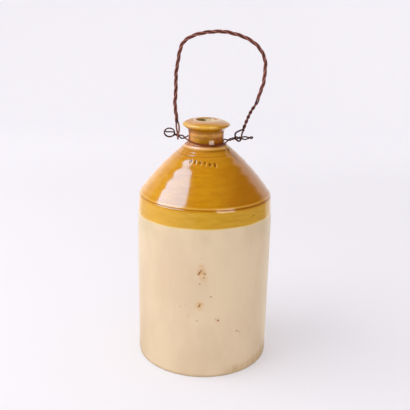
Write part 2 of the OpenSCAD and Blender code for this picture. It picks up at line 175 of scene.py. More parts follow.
class ClayLine:
    """The clay's outline by the length along it, with its outward direction at each place."""

    def __init__(self, points):
        fine_step = 0.1
        blur_count = 7
        gaps = np.linalg.norm(np.diff(points, axis=0), axis=1)
        points = points[np.r_[True, gaps > 1e-6]]
        lengths = np.r_[0, np.cumsum(np.linalg.norm(np.diff(points, axis=0), axis=1))]
        self.s = np.arange(0, lengths[-1], fine_step)
        self.r = np.interp(self.s, lengths, points[:, 0])
        self.z = np.interp(self.s, lengths, points[:, 1])
        blur = np.ones(blur_count) / blur_count
        slopes = [np.pad(np.gradient(values), blur_count // 2, mode="edge") for values in (self.r, self.z)]
        slope = np.stack([np.convolve(values, blur, "valid") for values in slopes], 1)
        slope /= np.linalg.norm(slope, axis=1)[:, None]
        self.out_r = slope[:, 1]
        self.out_z = -slope[:, 0]

    def at_height(self, z):
        """Length along the line at a height on the wall or the shoulder."""
        rising = self.z < ledge_z
        return float(np.interp(z, self.z[rising], self.s[rising]))

    def place(self, s, height):
        """Radius and height above the floor at lengths s, with the surface height above the clay."""
        r, z = np.interp(s, self.s, self.r), np.interp(s, self.s, self.z)
        nr, nz = np.interp(s, self.s, self.out_r), np.interp(s, self.s, self.out_z)
        return r + nr * height, z + nz * height


clay = ClayLine(clay_points())
s_dip = clay.at_height(dip_h)
s_wall_top = clay.at_height(wall_h - edge_round)
s_edge = clay.at_height(wall_h)
s_marks = clay.at_height(mark_z)
r_marks = float(np.interp(s_marks, clay.s, clay.r))
s_ledge = clay.at_height(ledge_z - 0.1)
s_mouth = clay.s[-1]


class Waves:
    """Smooth seeded unevenness over the turn angle and the length along the outline."""

    def __init__(self, seed, count, angle_max, shortest, longest):
        rng = np.random.default_rng(seed)
        self.turns = rng.integers(0, angle_max + 1, count)
        self.waves = 1 / np.exp(rng.uniform(np.log(shortest), np.log(longest), count))
        self.waves *= rng.choice([-1, 1], count)
        self.phases = rng.uniform(0, 2 * np.pi, count)
        self.size = 1 / np.sqrt(count)

    def __call__(self, s, angle):
        total = 0
        for turns, wave, phase in zip(self.turns, self.waves, self.phases):
            total = total + np.cos(turns * angle + 2 * np.pi * wave * s + phase)
        return total * self.size


dents = Waves(SEED, 14, 4, 60, 260)
rings = Waves(SEED + 1, 9, 1, 12, 30)
ripples = Waves(SEED + 2, 12, 9, 14, 60)
edge_waves = Waves(SEED + 3, 10, 14, 1e5, 1e6)


def dip_shift(angle):
    """How far the dip line lies above its mean height at an angle from the front."""
    return dip_tilt * np.sin(angle) + dip_wander * edge_waves(0, angle)


def grooves(s, shares):
    """The turned lines at lengths s along the outline, each with its own share."""
    z = np.interp(s, clay.s, clay.z)
    found = 0
    for groove_z, share in zip(groove_zs, shares):
        found = found + share * np.where(s < s_ledge, bump((z - groove_z) / (groove_w / 2)), 0.0)
    return found


def marks(s, angle):
    """Depth of the impressed marks from 0 to 1, each a sunk bar or a lozenge with a raised middle."""
    rim = 0.3
    bar_narrowing, bar_end = 1.6, 0.7
    lozenge_narrowing, island_size, island_rise = 0.9, 0.3, 0.8
    depth = np.zeros(np.broadcast(s, angle).shape)
    s_row = s_marks + mark_slope * (angle - (mark_from + mark_to) / 2 + 0.12)
    for k in range(mark_count):
        middle = mark_from + (mark_to - mark_from) * k / (mark_count - 1)
        across = (angle - middle) * r_marks / (mark_w / 2)
        along = (s - s_row) / (mark_h / 2)
        if k % 2:
            shape = np.abs(across) * bar_narrowing + np.maximum(np.abs(along) - bar_end, 0) * 3
            island = 0
        else:
            shape = (np.abs(across) + np.abs(along)) * lozenge_narrowing
            island = smooth((island_size - shape) / rim)
        depth = np.maximum(depth, smooth((1 - shape) / rim) - island_rise * island)
    return depth


def relief(s, angle):
    """How far the glaze lies below its nominal face: throwing rings, ripples and dents."""
    on_shoulder = smooth((s - s_edge) / 6) * smooth((s_ledge - s) / 14)
    on_wall = smooth((s_wall_top - s) / 6)
    on_neck = smooth((s - s_ledge) / 4)
    ring_depth = 0.088 * on_shoulder + 0.016 * on_wall + 0.024 * on_neck
    dent_depth = 0.10 * (on_shoulder + on_wall + 0.3 * on_neck)
    ripple_depth, least_depth = 0.016, 0.03
    return (ring_depth * (1 + rings(s, angle)) + dent_depth * (1 + 0.5 * dents(s, angle))
            + ripple_depth * ripples(s, angle) + least_depth)


def neck_spread(s):
    """How much further out the glaze lies at the neck's foot."""
    fade_from, fade_length = s_ledge + 0.5, 3.2
    z = np.interp(s, clay.s, clay.z)
    share = np.clip((z - neck_z - flare_low) / (flare_high - flare_low), 0, 1)
    return flare_w * (1 - share) ** 2 * smooth((s - fade_from) / fade_length)


def made_piece(name, points, faces, **shades):
    """A smooth shaded object with points in metres, and an attribute per point for each shade."""
    mesh = bpy.data.meshes.new(name)
    mesh.from_pydata(points.tolist(), [], faces)
    mesh.polygons.foreach_set("use_smooth", np.ones(len(faces), bool))
    for key, shade in shades.items():
        made = mesh.attributes.new(key, "FLOAT", "POINT")
        made.data.foreach_set("value", shade.reshape(-1).astype(np.float32))
    mesh.validate()
    mesh.update()
    piece = bpy.data.objects.new(name, mesh)
    bpy.context.scene.collection.objects.link(piece)
    return piece


def grid_faces(rows, columns, closed):
    """Faces between rows of points that run round, and from the last row to the first if closed."""
    i = np.arange(rows if closed else rows - 1)[:, None]
    j = np.arange(columns)[None, :]
    after_i, after_j = (i + 1) % rows, (j + 1) % columns
    corners = [i * columns + j, i * columns + after_j, after_i * columns + after_j, after_i * columns + j]
    return np.stack(corners, 2).reshape(-1, 4).tolist()


def ring_piece(name, s, angle, height, spread=0.0, **shades):
    """A closed ring of glaze: rows s and height, one column for each angle, and shades per point."""
    sharp_angle = math.radians(50)
    r, z = clay.place(s, height)
    r = r + spread
    points = np.stack([r * np.sin(angle), -r * np.cos(angle), z], 2).reshape(-1, 3) * MM
    piece = made_piece(name, points, grid_faces(*r.shape, True), **shades)
    piece.data.set_sharp_from_angle(angle=sharp_angle)
    return piece


def rows_between(start, end, step):
    return np.linspace(start, end, max(2, int(round((end - start) / step)) + 1))


def bend_rows(start, end):
    """Lengths along the outline from start to end, closer together where it bends."""
    longest_step, widest_turn = 8, math.radians(14)
    turn = np.abs(np.gradient(np.unwrap(np.arctan2(clay.out_z, clay.out_r))))
    effort = np.cumsum(np.gradient(clay.s) / longest_step + turn / widest_turn)
    first, last = np.interp([start, end], clay.s, effort)
    return np.interp(np.linspace(first, last, int(abs(last - first)) + 2), effort, clay.s)


def coat_angles(fine_from=-180, fine_to=-180):
    """Angles round the jug, closer together over the impressed marks."""
    fine_step, step = 0.45, 1.6
    left = np.arange(-180, fine_from, step)
    middle = np.arange(fine_from, fine_to, fine_step)
    right = np.arange(fine_to, 180, step)
    return np.radians(np.concatenate([left, middle, right]))[None, :]


def ochre_rows():
    """Lengths along the ochre coat, closer together at its edge, the turned lines and the marks."""
    edge_step, line_step, mark_step = 0.2, 0.3, 0.36
    shoulder_step, neck_step = 1.1, 0.6
    spans = [(s - groove_w, s + groove_w, line_step) for s in map(clay.at_height, groove_zs)]
    spans.append((s_marks - mark_h / 2 - 4, s_marks + mark_h / 2 + 2, mark_step))
    at = s_dip + ochre_edge_w
    pieces = [rows_between(s_dip, at, edge_step)]
    for low, high, step in sorted(spans):
        low = max(low, at)
        if low > at:
            pieces.append(rows_between(at, low, shoulder_step)[1:])
        if high > low:
            pieces.append(rows_between(low, high, step)[1:])
        at = max(at, high)
    pieces.append(rows_between(at, s_mouth, neck_step)[1:])
    return np.concatenate(pieces)


def ochre_coat():
    """The ochre dip over shoulder, neck and lip, a little proud just above the dip line."""
    mouth_taper, mouth_share = 4.5, 0.02
    edge_proud, proud_fade = 0.06, 10
    # How far below and to the right of each mark its painted highlight lies
    light_up, light_right = 0.7, 0.9
    outer = ochre_rows()[:, None]
    inner = bend_rows(s_mouth, s_dip)[:, None]
    angle = coat_angles(-34, 20)

    def shifted(rows):
        return rows + dip_shift(angle) * (1 - smooth((rows - s_dip) / ochre_fade))

    s, inner_s = shifted(outer), shifted(inner)

    def on_face(shade):
        """A shade per point of the outer face, and 0 on the hidden one."""
        return np.vstack([shade + 0 * angle, np.zeros(inner_s.shape)])

    marked = marks(s, angle)
    # A painted highlight beside each mark, where its edge would catch light from the upper left
    beside = marks(s + light_up, angle - light_right / r_marks) * (1 - marked)
    sunk = groove_depth * grooves(s, groove_depth_shares) + mark_depth * marked
    start = smooth((outer - s_dip) / ochre_edge_w)
    proud = edge_proud * start * (1 - smooth((outer - s_dip - ochre_edge_w) / proud_fade))
    height = glaze_t + proud - relief(s, angle) - sunk
    height = height * smooth((s_mouth - outer) / mouth_taper + mouth_share)
    return ring_piece(
        "ochre_dip_glaze", np.vstack([s, inner_s]), angle,
        np.vstack([height, np.full(inner_s.shape, hidden_gap)]), on_face(neck_spread(s)),
        pooled=on_face(grooves(s, groove_tone_shares)), marked=on_face(marked),
        beside_mark=on_face(beside), thin_edge=on_face(1 - start))


def cream_coat():
    """The cream glaze from the bare foot up to the dip line, with a rounded lower edge."""
    edge_step, wall_step, inner_step = 0.15, 2, -12
    under_ochre = 0.05
    foot_wander, foot_fade, foot_t = 0.3, 10, 0.03
    outer = np.r_[rows_between(0, cream_edge_w, edge_step),
                  rows_between(cream_edge_w, s_dip, wall_step)[1:]][:, None]
    inner = rows_between(s_dip, 0, inner_step)[:, None]
    angle = coat_angles()

    def shifted(rows):
        return rows + (dip_shift(angle) + under_ochre) * smooth((rows - s_dip + cream_fade) / cream_fade)

    down_share = 1 - smooth(outer / foot_fade)
    s = shifted(outer) + foot_wander * (1 + edge_waves(0, angle + 1)) * down_share
    start = np.clip(outer / cream_edge_w, 0, 1)
    height = (glaze_t - relief(s, angle)) * np.sqrt(1 - (1 - start) ** 2) + foot_t * (1 - start)
    inner_s = shifted(inner)
    return ring_piece("cream_wall_glaze", np.vstack([s, inner_s]), angle,
                      np.vstack([height, np.full(inner_s.shape, hidden_gap)]))


# The two wires, in the sizes of their solids. The bail rises a little less, because its rust needs room
neck_wire_d = 1.4
bail_wire_d = 1.7
twist_gap = 0.58
neck_wire_gap = 1.3
ledge_gap = 0.3
neck_wire_tilt = 6.0
low_angle = -50
right_ear_reach = 57.6
left_ear_reach = 45.4
ring_half_w = 6.3
ring_half_h = 5.3
bail_rise = 124.7
swing_lift = 7.3
left_loop_reach = 35.0
right_loop_reach = 41.0
left_loop_clear = 3.2
right_loop_clear = 4.4
bail_turns = 7
leg_turns = 3
wire_finer = 3

# Rust that closes the gaps between the turns of each wire
neck_rust = 0.36
bail_rust = 0.5

ring_r = neck_r + glaze_t + neck_wire_gap + neck_wire_d / 2
ring_low = neck_z + glaze_t + ledge_gap + neck_wire_d / 2
swing_z = ring_low + swing_lift
turn_gap = neck_wire_d + twist_gap
Y = np.array([0.0, 1.0, 0.0])


def cosd(angle):
    return math.cos(math.radians(angle))


def sind(angle):
    return math.sin(math.radians(angle))


def spline(points, u):
    """Point on a smooth line through a list of points, u counting from its first point."""
    n = len(points)
    i = min(int(math.floor(u)), n - 2)
    t = u - i
    a, b, c, d = points[max(i - 1, 0)], points[i], points[i + 1], points[min(i + 2, n - 1)]
    return (2 * b + (c - a) * t + (2 * a - 5 * b + 4 * c - d) * t ** 2
            + (3 * b - a - 3 * c + d) * t ** 3) / 2


def heading(points, u):
    nudge = 0.01
    ahead, behind = min(u + nudge, len(points) - 1), max(u - nudge, 0)
    return unit(spline(points, ahead) - spline(points, behind))


def ring_z(angle):
    return ring_low + neck_wire_tilt * (1 - cosd(angle - low_angle)) / 2


def ring_point(angle):
    return np.array([ring_r * cosd(angle), ring_r * sind(angle), ring_z(angle)])


def eased(t):
    """0 to 1 at an even pace, with a soft start and a soft end."""
    ease_share = 0.15
    if t < ease_share:
        return t * t / (2 * ease_share * (1 - ease_share))
    if t > 1 - ease_share:
        return 1 - eased(1 - t)
    return (t - ease_share / 2) / (1 - ease_share)


def turned(share, turns):
    """Turns at a share of an ear's length, from a table of places and turns."""
    total = turns[0][1]
    for (start, before), (end, after) in zip(turns, turns[1:]):
        total += (after - before) * eased(clipped((share - start) / (end - start)))
    return total


def apart(eyes, share):
    """Half the distance between an ear's two wires, which is wider in its eyes."""
    twist_r = turn_gap / 2
    found = twist_r
    for place, half, height in eyes:
        rise = float(bump((share - place) / half))
        found = max(found, twist_r + (height * turn_gap - twist_r) * rise)
    return found


def ear_wires(line, turns, eyes, steps):
    """An ear's two wires: the one that is in front at the neck, and the one behind."""
    front, back = [], []
    for k in range(steps + 1):
        share = k / steps
        u = share * (len(line) - 1)
        ahead = heading(line, u)
        up = unit([-ahead[2] * np.sign(ahead[0]), 0, abs(ahead[0])])
        turn = 360 * turned(share, turns)
        off = apart(eyes, share) * (cosd(turn) * up + sind(turn) * Y)
        front.append(spline(line, u) - off)
        back.append(spline(line, u) + off)
    return front, back


def lead(angle, ear_end):
    """The wire's way from the ring round the neck into an ear."""
    a = ring_point(angle)
    slope = (ear_end[1] - a[1]) / cosd(angle)
    bend = [a[0] - slope * sind(angle), ear_end[1], (a[2] + ear_end[2]) / 2]
    return list(curve(a, bend, ear_end, 4 * wire_finer))


def in_plane(places):
    """Points in the plane through both ears, from their x and their height."""
    return [np.array([x, 0, z]) for x, z in places]


def ear_lines():
    """Middle lines of the two ears, from the neck outwards."""
    left_ear_lift, right_ear_drop = 0.6, 1.3
    left_start, right_start = ring_r + 2.6, ring_r + 4
    ring_start = left_ear_reach - ring_half_w - neck_wire_d
    left_line = in_plane((
        (-left_start, ring_z(180)),
        (-(left_start + left_loop_reach) / 2, (ring_z(180) + swing_z) / 2),
        (-left_loop_reach, swing_z + left_ear_lift),
        (-ring_start, swing_z + 2 * left_ear_lift),
    ))
    right_line = in_plane((
        (right_start, (2 * ring_z(0) + swing_z) / 3),
        ((right_start + right_loop_reach) / 2, swing_z - 1.5 * right_ear_drop),
        (right_loop_reach, swing_z - right_ear_drop),
        ((right_loop_reach + right_ear_reach) / 2, swing_z - right_ear_drop),
        (right_ear_reach, swing_z - right_ear_drop / 3),
    ))
    return left_line, right_line


def left_ring():
    """The ring of nearly two turns at the left ear's end, with its last part folded to the back."""
    steps = 40 * wire_finer
    ring_from, ring_to = 58, 682
    fold_from, fold_to, fold_angle = 515, 600, 96
    found = []
    for k in range(steps + 1):
        angle = ring_from + (ring_to - ring_from) * k / steps
        folded = clipped((angle - fold_from) / (fold_to - fold_from))
        fold = fold_angle * (1 - cosd(180 * folded)) / 2
        rise = -ring_half_h * sind(angle)
        found.append(np.array([
            -left_ear_reach + ring_half_w * cosd(angle),
            turn_gap * (angle / 360 - 1) + rise * sind(fold),
            swing_z + 0.72 * ring_half_h + rise * cosd(fold),
        ]))
    return found


def ring_join(ear_end, ring_end, bend):
    """The wire's way from the left ear into its ring, without both ends."""
    middle = [ear_end[0] - bend, (ear_end[1] + ring_end[1]) / 2, ear_end[2]]
    return list(curve(ear_end, middle, ring_end, 4 * wire_finer))[1:-1]


def neck_wire_path():
    """The neck wire from one cut end to the other."""
    left_line, right_line = ear_lines()
    left_turns = [(0, 0.25), (0.14, 0.5), (0.42, 0.5), (0.90, 1.25), (1, 1.25)]
    right_turns = [(0, 0.25), (0.30, 1.5), (0.375, 1.5), (0.63, 2.5), (0.76, 2.5), (1, 3.25)]
    left_eyes = [(0.28, 0.22, 0.92), (1, 0.3, 1)]
    right_eyes = [(0, 0.12, 0.6), (0.338, 0.08, 0.8), (0.70, 0.095, 0.92)]
    arc_steps = 13 * wire_finer
    lead_angle = 24

    def ring_arc(start):
        arc_turn = 180 - 2 * lead_angle
        return [ring_point(start - arc_turn * k / arc_steps) for k in range(arc_steps + 1)]

    front_right, back_right = ear_wires(right_line, right_turns, right_eyes, 46 * wire_finer)
    front_left, back_left = ear_wires(left_line, left_turns, left_eyes, 18 * wire_finer)
    ring = left_ring()
    return np.array(
        front_right[::-1]
        + lead(-lead_angle, front_right[0])[::-1][1:]
        + ring_arc(-lead_angle)[1:]
        + lead(lead_angle - 180, front_left[0])[1:]
        + front_left[1:]
        + ring_join(front_left[-1], ring[0], 1.3 * neck_wire_d)
        + ring
        + ring_join(back_left[-1], ring[-1], 0.9 * neck_wire_d)[::-1]
        + back_left[::-1]
        + lead(180 - lead_angle, back_left[0])[::-1][1:]
        + ring_arc(180 - lead_angle)[1:]
        + lead(lead_angle, back_right[0])[1:]
        + back_right[1:]
    )


# Middle line of the bail, as shares of the span between its loops and of its rise
bail_route_shares = (
    (-0.013, 0.128), (-0.034, 0.224), (-0.050, 0.320), (-0.039, 0.416), (-0.037, 0.520),
    (-0.034, 0.616), (-0.008, 0.712), (0.018, 0.808), (0.072, 0.892), (0.191, 0.948),
    (0.355, 0.982), (0.526, 0.997), (0.697, 1.000), (0.868, 0.982), (1.039, 0.949),
    (1.191, 0.896), (1.303, 0.820), (1.361, 0.728), (1.362, 0.628), (1.347, 0.528),
    (1.300, 0.436), (1.253, 0.340), (1.168, 0.252), (1.105, 0.160), (1.052, 0.068),
)


def bail_line():
    """Middle line of the bail's bundle."""
    span = left_loop_reach + right_loop_reach
    return in_plane((a * span - left_loop_reach, swing_z + b * bail_rise) for a, b in bail_route_shares)


def bail_loop(clear, from_x, to_x, side):
    """A loop round an ear, from from_x to to_x along it, side 1 with its first end behind."""
    loop_steps, loop_turn = 10 * wire_finer, 112
    r = clear + bail_wire_d / 2
    found = []
    for i in range(loop_steps + 1):
        turn = side * loop_turn * (1 - 2 * i / loop_steps)
        x = from_x + (to_x - from_x) * (1 - cosd(180 * i / loop_steps)) / 2
        found.append(np.array([x, r * sind(turn), swing_z - r * cosd(turn)]))
    return found


def loop_leg(top, low, rise_share, lean=0.0):
    """The wire's way from the bundle down to a loop's end, without both ends."""
    bend = [low[0] + lean, low[1] * (1 - rise_share / 2), low[2] + (top[2] - low[2]) * rise_share]
    return list(curve(top, bend, low, 5 * wire_finer))[1:-1]


def bail_path():
    """The bail's one wire, passed three times over the arch and twice down its right leg."""
    line = bail_line()
    end = len(line) - 1
    nub_u, first_cut_u, start_turn = 20.6, 0.4, 270
    merge_u, quicken_share = 0.6, 0.3
    left_leg_leans = (2.6, -2.2)
    three_r = (bail_wire_d + twist_gap) / math.sqrt(3)
    two_r = (bail_wire_d + twist_gap) / 2 - 0.1
    upper_steps, leg_steps = 82 * wire_finer, 30 * wire_finer

    def quickened(t):
        slow = t * t / (2 * quicken_share) if t < quicken_share else t - quicken_share / 2
        return slow / (1 - quicken_share / 2)

    def point(k, u):
        ahead = heading(line, u)
        across = np.array([ahead[2], 0, -ahead[0]])
        merged = clipped((u - nub_u) / merge_u)
        turn = start_turn + (360 * bail_turns + 120) * min(u, nub_u) / nub_u
        turn += 360 * leg_turns * quickened(max(u - nub_u, 0) / (end - nub_u))
        turn += 120 * k + (1 if k == 1 else -1) * 30 * merged
        r = three_r + (two_r - three_r) * merged
        return spline(line, u) + r * (cosd(turn) * across + sind(turn) * Y)

    def one_pass(k):
        upper = [nub_u * i / upper_steps for i in range(upper_steps + 1)]
        found = [point(k, u) for u in upper if k > 0 or u >= first_cut_u]
        if k < 2:
            found += [point(k, nub_u + (end - nub_u) * i / leg_steps) for i in range(1, leg_steps + 1)]
        return found

    first, second, third = one_pass(0), one_pass(1), one_pass(2)
    right_r = right_loop_clear + bail_wire_d / 2
    right_low = bail_loop(right_loop_clear, right_loop_reach - right_r,
                          right_loop_reach + 0.45 * right_r, 1)
    left_low = bail_loop(left_loop_clear, 0.2 * bail_wire_d - left_loop_reach,
                         -0.2 * bail_wire_d - left_loop_reach, -1)
    return np.array(
        first
        + loop_leg(first[-1], right_low[0], 0.5)
        + right_low
        + loop_leg(second[-1], right_low[-1], 0.6)[::-1]
        + second[::-1]
        + loop_leg(second[0], left_low[0], 0.55, left_leg_leans[0])
        + left_low
        + loop_leg(third[0], left_low[-1], 0.55, left_leg_leans[1])[::-1]
        + third
    )


def rounded(points):
    """The smooth line through a list of points."""
    finer = 20
    count = (len(points) - 1) * finer
    return np.array([spline(points, k / finer) for k in range(count + 1)])


def even(path, step):
    """The same path with its points an even step apart, and their distances along it."""
    lengths = np.r_[0, np.cumsum(np.linalg.norm(np.diff(path, axis=0), axis=1))]
    at = np.linspace(0, lengths[-1], int(lengths[-1] / step) + 1)
    return np.stack([np.interp(at, lengths, path[:, c]) for c in range(3)], 1), at


def creases(points, middle, near, far):
    """How deep points lie in a bundle of wires: 1 up to near its middle line, 0 from far outwards."""
    middle, _ = even(middle, 1.0)
    gaps = np.concatenate([
        np.linalg.norm(part[:, None] - middle[None], axis=2).min(1)
        for part in np.array_split(points, 1 + len(points) // 2000)
    ])
    return 1 - smooth((gaps - near) / (far - near))


def wire_skin(path, d, seed):
    """Rings of points round a path: the uneven, pitted skin of a rusted wire with cut ends."""
    step, sides, wave_count = 0.55, 14, 16
    wave_depth, pit_depth = 0.035, 0.03
    end_size, end_length = 0.82, 0.12
    path, at = even(path, step)
    ahead = np.gradient(path, axis=0)
    ahead /= np.linalg.norm(ahead, axis=1)[:, None]
    side = unit(np.cross(ahead[0], [0.3, 0.8, 0.5]))
    rng = np.random.default_rng(seed)
    waves = [(rng.uniform(2, 14), rng.integers(0, 5), rng.uniform(0, 2 * np.pi))
             for _ in range(wave_count)]
    pits = rng.normal(0, 1, (len(path), sides))
    pits = (pits + np.roll(pits, 1, 0) + np.roll(pits, 1, 1)) / 3
    turn = 2 * np.pi * np.arange(sides) / sides
    skin = []
    for i, (p, t) in enumerate(zip(path, ahead)):
        side = unit(side - (side @ t) * t)
        other = np.cross(t, side)
        uneven = sum(np.cos(2 * np.pi * at[i] / length + turns * turn + phase)
                     for length, turns, phase in waves) / 4
        r = d / 2 * (1 - wave_depth * (1 + 0.5 * uneven) - pit_depth * np.clip(pits[i], 0, 2))
        skin.append(p + np.outer(r * np.cos(turn), side) + np.outer(r * np.sin(turn), other))
    start = path[0] + (skin[0] - path[0]) * end_size - ahead[0] * end_length * d
    stop = path[-1] + (skin[-1] - path[-1]) * end_size + ahead[-1] * end_length * d
    return np.array([start, *skin, stop])


def wire(name, path, d, seed, middles, near, far):
    """A round wire of rusted iron along a path, with the depth of each point in its bundle."""
    skin = wire_skin(path, d, seed)
    rows, sides, _ = skin.shape
    faces = grid_faces(rows, sides, False)
    faces.append(list(range(sides))[::-1])
    faces.append([(rows - 1) * sides + k for k in range(sides)])
    points = skin.reshape(-1, 3)
    # How deep each point lies in its bundle, for the painted shade between the turns
    depth = np.max([creases(points, middle, near, far) for middle in middles], axis=0)
    return made_piece(name, points * MM, faces, crease=depth)


def neck_wire():
    middles = [rounded(line) for line in ear_lines()]
    return wire("neck_wire_iron", neck_wire_path(), neck_wire_d + neck_rust, SEED + 10, middles, 0.3, 1.5)


def bail_wire():
    middles = [rounded(bail_line())]
    return wire("bail_wire_iron", bail_path(), bail_wire_d + bail_rust, SEED + 11, middles, 1.3, 2.3)


def rgb(code):
    """A linear colour from a six figure screen colour."""
    values = [int(code[k:k + 2], 16) / 255 for k in (0, 2, 4)]
    return tuple(v / 12.92 if v <= 0.04045 else ((v + 0.055) / 1.055) ** 2.4 for v in values) + (1,)


class Painter:
    """Builds one procedural material node by node. Values in its sums are sockets or numbers."""

    def __init__(self, name, shader="ShaderNodeBsdfPrincipled"):
        self.material = bpy.data.materials.new(name)
        self.material.use_nodes = True
        self.tree = self.material.node_tree
        self.tree.nodes.clear()
        self.shader = self.node(shader)
        self.surface = self.node("ShaderNodeOutputMaterial").inputs["Surface"]
        self.link(self.shader.outputs[0], self.surface)
        self.place = self.node("ShaderNodeTexCoord").outputs["Object"]
        parts = self.node("ShaderNodeSeparateXYZ")
        self.link(self.place, parts.inputs[0])
        self.x, self.y, self.z = parts.outputs

    def node(self, kind, **settings):
        made = self.tree.nodes.new(kind)
        for key, value in settings.items():
            setattr(made, key, value)
        return made

    def link(self, a, b):
        self.tree.links.new(a, b)

    def put(self, socket, value):
        """Feeds a socket from another node, or sets it to a number or a six figure screen colour."""
        if hasattr(value, "links"):
            self.link(value, socket)
        else:
            socket.default_value = rgb(value) if isinstance(value, str) else value

    def math(self, operation, a, b=0.0):
        made = self.node("ShaderNodeMath", operation=operation)
        self.put(made.inputs[0], a)
        self.put(made.inputs[1], b)
        return made.outputs[0]

    def plus(self, a, b):
        return self.math("ADD", a, b)

    def times(self, *factors):
        product = factors[0]
        for factor in factors[1:]:
            product = self.math("MULTIPLY", product, factor)
        return product

    def band(self, value, low, high, to_low=0.0, to_high=1.0):
        """value mapped smoothly from low..high to to_low..to_high."""
        made = self.node("ShaderNodeMapRange", interpolation_type="SMOOTHSTEP")
        for key, number in (("Value", value), ("From Min", low), ("From Max", high),
                            ("To Min", to_low), ("To Max", to_high)):
            self.put(made.inputs[key], number)
        return made.outputs["Result"]

    def near(self, value, middle, half):
        """1 where value is at middle, falling to 0 at half away."""
        off = self.math("ABSOLUTE", self.math("SUBTRACT", value, middle))
        return self.band(off, 0.0, half, 1.0, 0.0)

    def rise(self, low, high):
        """0 at one height to 1 at another, both in millimetres."""
        return self.band(self.z, low * MM, high * MM)

    def across(self, left, right, to_left=0.0, to_right=1.0):
        """to_left at one x to to_right at another, both in millimetres."""
        return self.band(self.x, left * MM, right * MM, to_left, to_right)

    def near_height(self, middle, half):
        """1 at a height, falling to 0 at half away, both in millimetres."""
        return self.near(self.z, middle * MM, half * MM)

    def near_side(self, middle, half):
        """1 at an x, falling to 0 at half away, both in millimetres."""
        return self.near(self.x, middle * MM, half * MM)

    def attribute(self, name):
        return self.node("ShaderNodeAttribute", attribute_name=name).outputs["Fac"]

    def scaled(self, factors):
        made = self.node("ShaderNodeVectorMath", operation="MULTIPLY")
        self.link(self.place, made.inputs[0])
        made.inputs[1].default_value = factors
        return made.outputs[0]

    def noise(self, factors, detail=2.0, roughness=0.5, seed=0.0):
        """Noise over the object's own coordinates, with cells per metre along each axis."""
        made = self.node("ShaderNodeTexNoise", noise_dimensions="4D")
        self.link(self.scaled(factors), made.inputs["Vector"])
        for key, number in (("W", seed), ("Scale", 1), ("Detail", detail), ("Roughness", roughness)):
            made.inputs[key].default_value = number
        return made.outputs["Fac"]

    def mix(self, share, a, b):
        made = self.node("ShaderNodeMix", data_type="RGBA", blend_type="MIX")
        self.put(made.inputs["Factor"], share)
        self.put(made.inputs["A"], a)
        self.put(made.inputs["B"], b)
        return made.outputs["Result"]

    def layered(self, colour, *layers):
        """A colour under layers, each with its share and its tone."""
        for share, tone in layers:
            colour = self.mix(share, colour, tone)
        return colour

    def bumped(self, height, strength, distance, normal=None):
        made = self.node("ShaderNodeBump")
        made.inputs["Strength"].default_value = strength
        made.inputs["Distance"].default_value = distance
        self.link(height, made.inputs["Height"])
        if normal is not None:
            self.link(normal, made.inputs["Normal"])
        return made.outputs["Normal"]

    def finish(self, colour, roughness, normal, **fixed):
        self.put(self.shader.inputs["Base Color"], colour)
        self.put(self.shader.inputs["Roughness"], roughness)
        self.link(normal, self.shader.inputs["Normal"])
        for key, value in fixed.items():
            self.shader.inputs[key.replace("_", " ")].default_value = value
        return self.material


def on_wall(angle, z):
    """A point on the wall in metres, from its angle from the front in degrees and its height."""
    return Vector((body_r * sind(angle) * MM, -body_r * cosd(angle) * MM, z * MM))


# Iron spots on the front of the wall: angle from the front, height, radius, and how dark they are
iron_spots = (
    (-1.6, 145.0, 1.0, 0.6), (-2.1, 143.4, 1.3, 0.8), (-2.7, 141.8, 1.5, 0.9), (-3.3, 140.2, 1.5, 0.9),
    (-3.9, 138.8, 1.6, 0.8), (1.0, 139.8, 1.5, 0.8), (1.6, 138.6, 1.0, 0.5),
    (0.4, 134.4, 1.3, 0.7), (-2.8, 126.7, 1.2, 0.6), (6.4, 109.9, 1.2, 0.8), (-2.2, 100.4, 1.2, 0.8),
    (-2.8, 98.2, 1.6, 1.0), (-3.4, 96.2, 1.0, 0.6),
    (-18.6, 94.8, 1.0, 0.4), (-14.6, 98.0, 0.8, 0.3), (-11.7, 84.1, 0.9, 0.35), (-4.4, 78.1, 1.2, 0.6),
    (12.8, 78.3, 1.5, 1.0), (10.2, 80.4, 0.9, 0.6), (29.6, 60.2, 1.2, 0.85), (31.4, 58.6, 0.9, 0.6),
    (33.2, 57.1, 0.9, 0.6),
    (-23.0, 121.0, 0.7, 0.25), (21.0, 150.0, 0.7, 0.25),
)
# Warm halos round groups of spots: angle, height, radius, strength
iron_halos = (
    (-1.6, 141.4, 8.5, 0.95), (-1.8, 149.0, 6.0, 0.6), (0.0, 134.0, 7.0, 0.7),
    (-2.6, 98.6, 7.5, 0.9), (-1.8, 93.5, 5.0, 0.4), (12.4, 78.6, 5.0, 0.5),
    (-2.8, 126.7, 3.0, 0.3), (30.4, 59.6, 4.5, 0.35), (-18.0, 95.2, 4.0, 0.2), (-11.9, 85.0, 4.0, 0.2),
)

# Brownish stains along the foot at the right: angle, height, radius, strength
base_stains = (
    (24, 4, 10, 0.3), (30, 6, 9, 0.6), (37, 5, 11, 0.4), (44, 6, 11, 0.4), (51, 7, 11, 0.5),
    (58, 7, 12, 0.5), (65, 8, 13, 0.5), (72, 9, 14, 0.5), (80, 9, 14, 0.45), (89, 8, 13, 0.3),
    (98, 7, 12, 0.15),
)


